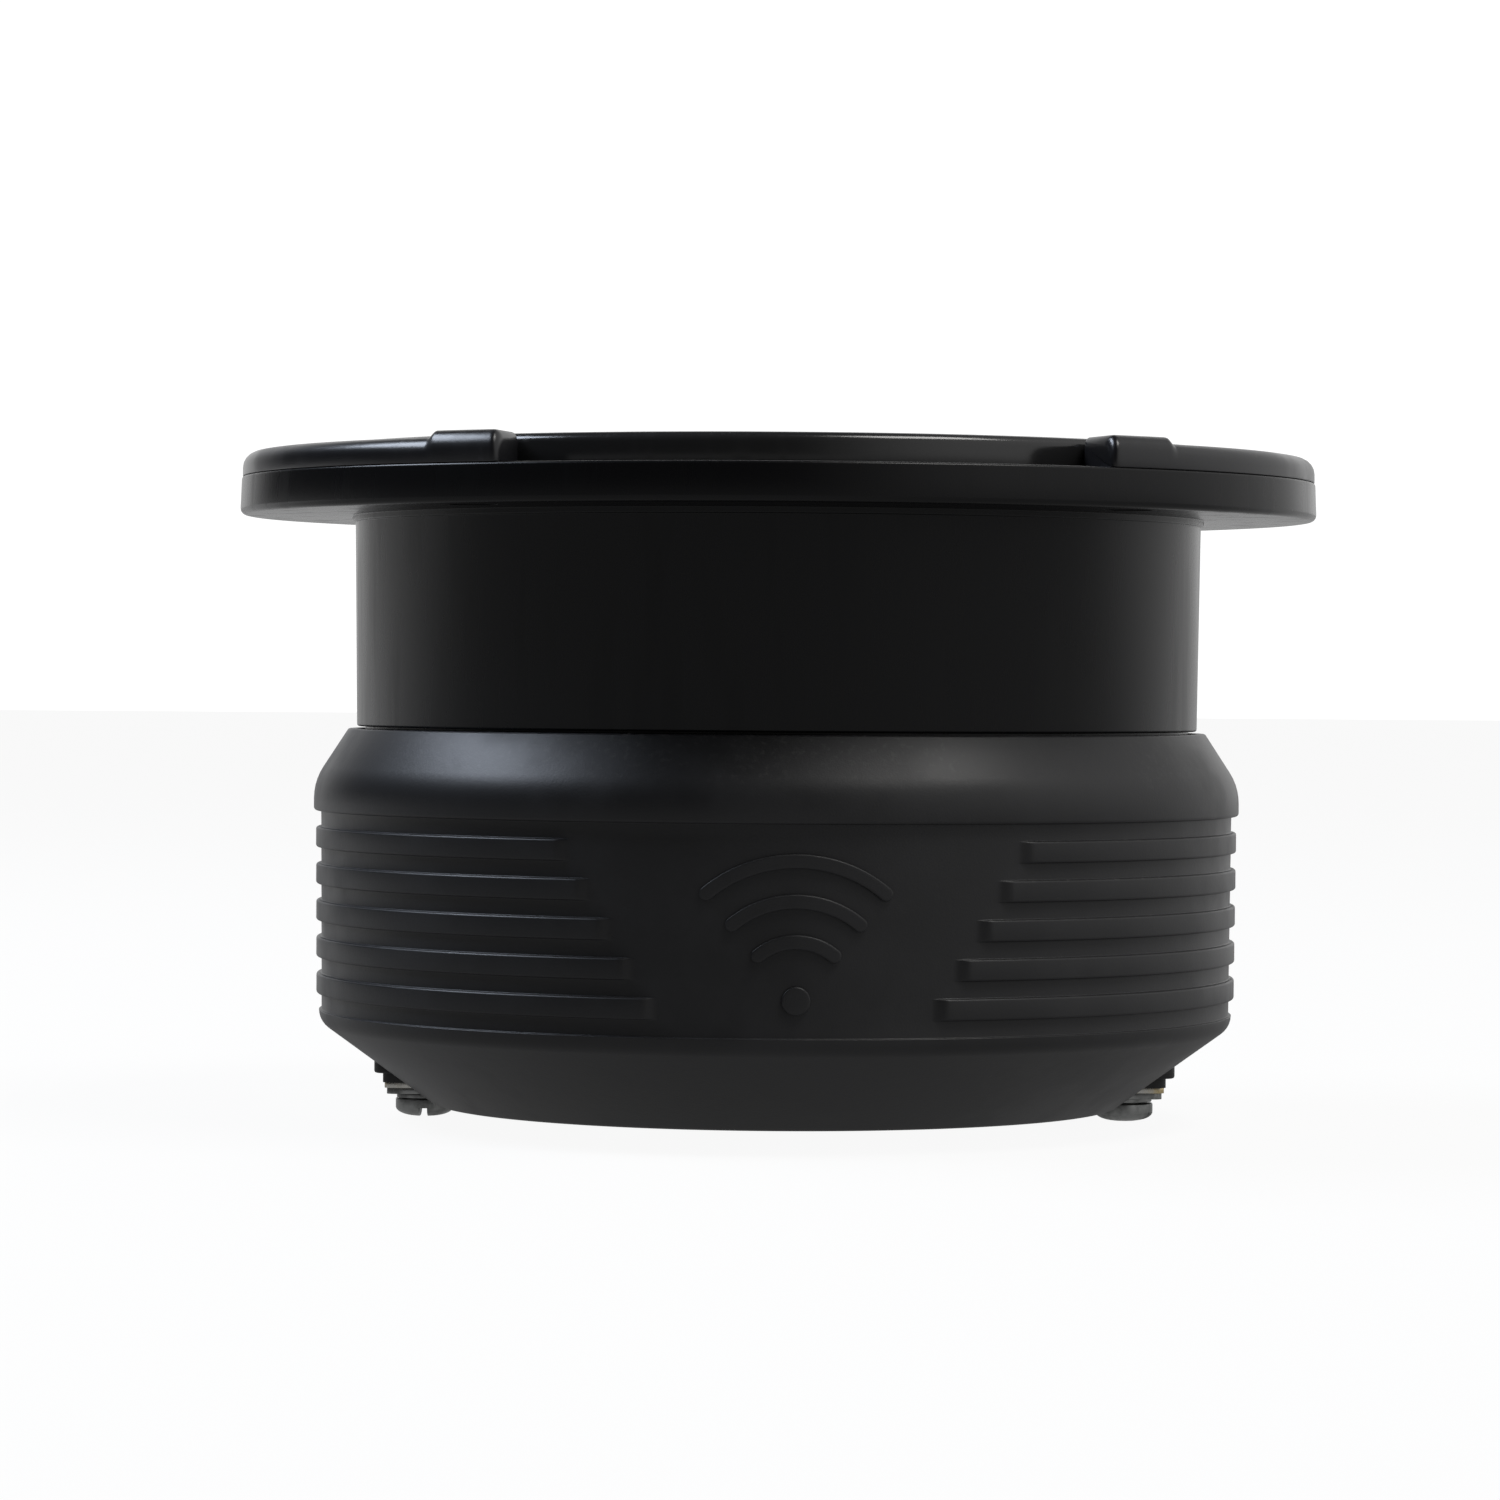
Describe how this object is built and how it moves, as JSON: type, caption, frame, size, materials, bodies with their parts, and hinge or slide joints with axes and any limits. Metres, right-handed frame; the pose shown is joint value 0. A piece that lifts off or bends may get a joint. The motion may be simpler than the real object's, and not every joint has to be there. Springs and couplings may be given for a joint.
{
  "type": "bullet super tweeter",
  "caption": "Round black bullet tweeter: flanged horn with a bullet plug, ring diaphragm motor, ribbed rubber magnet boot and slotted screw terminals on the rear.",
  "frame": {"origin": "centre of the rear foot's face, at the bottom of the object as it stands on its back", "axes": "+Z along the horn axis towards the mouth; the terminals are on -X (left) and +X (right); -Y is the front of the boot, with the plain zone in its ribs"},
  "size_m": [0.1038, 0.1038, 0.0648],
  "materials": {
    "horn": "satin black moulding",
    "gloss_trim": "polished black",
    "cover": "satin black",
    "bullet": "spun and lacquered",
    "boot_rubber": "moulded satin rubber",
    "motor_steel": "zinc plated",
    "plated_steel": "zinc plated",
    "magnet": "ferrite, stands in for ceramic",
    "phenolic": "varnished phenolic cloth",
    "copper": "enamelled copper",
    "brass": "tinned brass",
    "nylon": "moulded nylon",
    "felt": "pressed wool felt"
  },
  "bodies": {
    "motor_and_horn": {"horn_body": "horn", "mouth_ring": "gloss_trim", "screw_cover_left": "cover", "screw_cover_right": "cover", "bullet_plug": "bullet", "bullet_stud": "plated_steel", "stud_nut": "plated_steel", "outer_suspension": "phenolic", "inner_suspension": "phenolic", "diaphragm_carrier": "nylon", "inner_clamp_ring": "bullet", "top_plate": "motor_steel", "magnet_ring_1": "magnet", "magnet_ring_2": "magnet", "back_plate": "motor_steel", "pole_piece": "motor_steel", "shorting_ring": "copper", "damping_felt": "felt", "horn_screw_1": "plated_steel", "horn_screw_2": "plated_steel", "horn_screw_3": "plated_steel", "horn_screw_4": "plated_steel", "magnet_boot": "boot_rubber", "terminal_block_left": "nylon", "terminal_block_right": "nylon", "terminal_nut_left": "brass", "terminal_nut_right": "brass", "terminal_tab_left": "brass", "terminal_tab_right": "brass", "lead_wire_left": "copper", "lead_wire_right": "copper"},
    "diaphragm": {"ring_diaphragm": "phenolic", "coil_former": "phenolic", "voice_coil": "copper"},
    "clamp_left": {"clamp_plate_left": "plated_steel", "lock_washer_left": "plated_steel"},
    "screw_left": {"terminal_screw_left": "plated_steel"},
    "clamp_right": {"clamp_plate_right": "plated_steel", "lock_washer_right": "plated_steel"},
    "screw_right": {"terminal_screw_right": "plated_steel"}
  },
  "joints": [
    {"name": "diaphragm_travel", "type": "slide", "parent": "motor_and_horn", "child": "diaphragm", "axis": [0, 0, 1], "range_m": [-0.00025, 0.00025], "stiffness_N_per_m": 2000},
    {"name": "clamp_left_lift", "type": "slide", "parent": "motor_and_horn", "child": "clamp_left", "axis": [0, 0, -1], "range_m": [0, 0.001]},
    {"name": "screw_left_turn", "type": "hinge", "parent": "clamp_left", "child": "screw_left", "pos_m": [-0.03393, 0, 0.002], "axis": [0, 0, -1], "range_deg": [0, 720]},
    {"name": "clamp_right_lift", "type": "slide", "parent": "motor_and_horn", "child": "clamp_right", "axis": [0, 0, -1], "range_m": [0, 0.001]},
    {"name": "screw_right_turn", "type": "hinge", "parent": "clamp_right", "child": "screw_right", "pos_m": [0.03393, 0, 0.002], "axis": [0, 0, -1], "range_deg": [0, 720]}
  ],
  "couplings": [
    {"joint": "screw_left_turn", "follows": "clamp_left_lift", "rad_per_m": 12566},
    {"joint": "screw_right_turn", "follows": "clamp_right_lift", "rad_per_m": 12566}
  ]
}
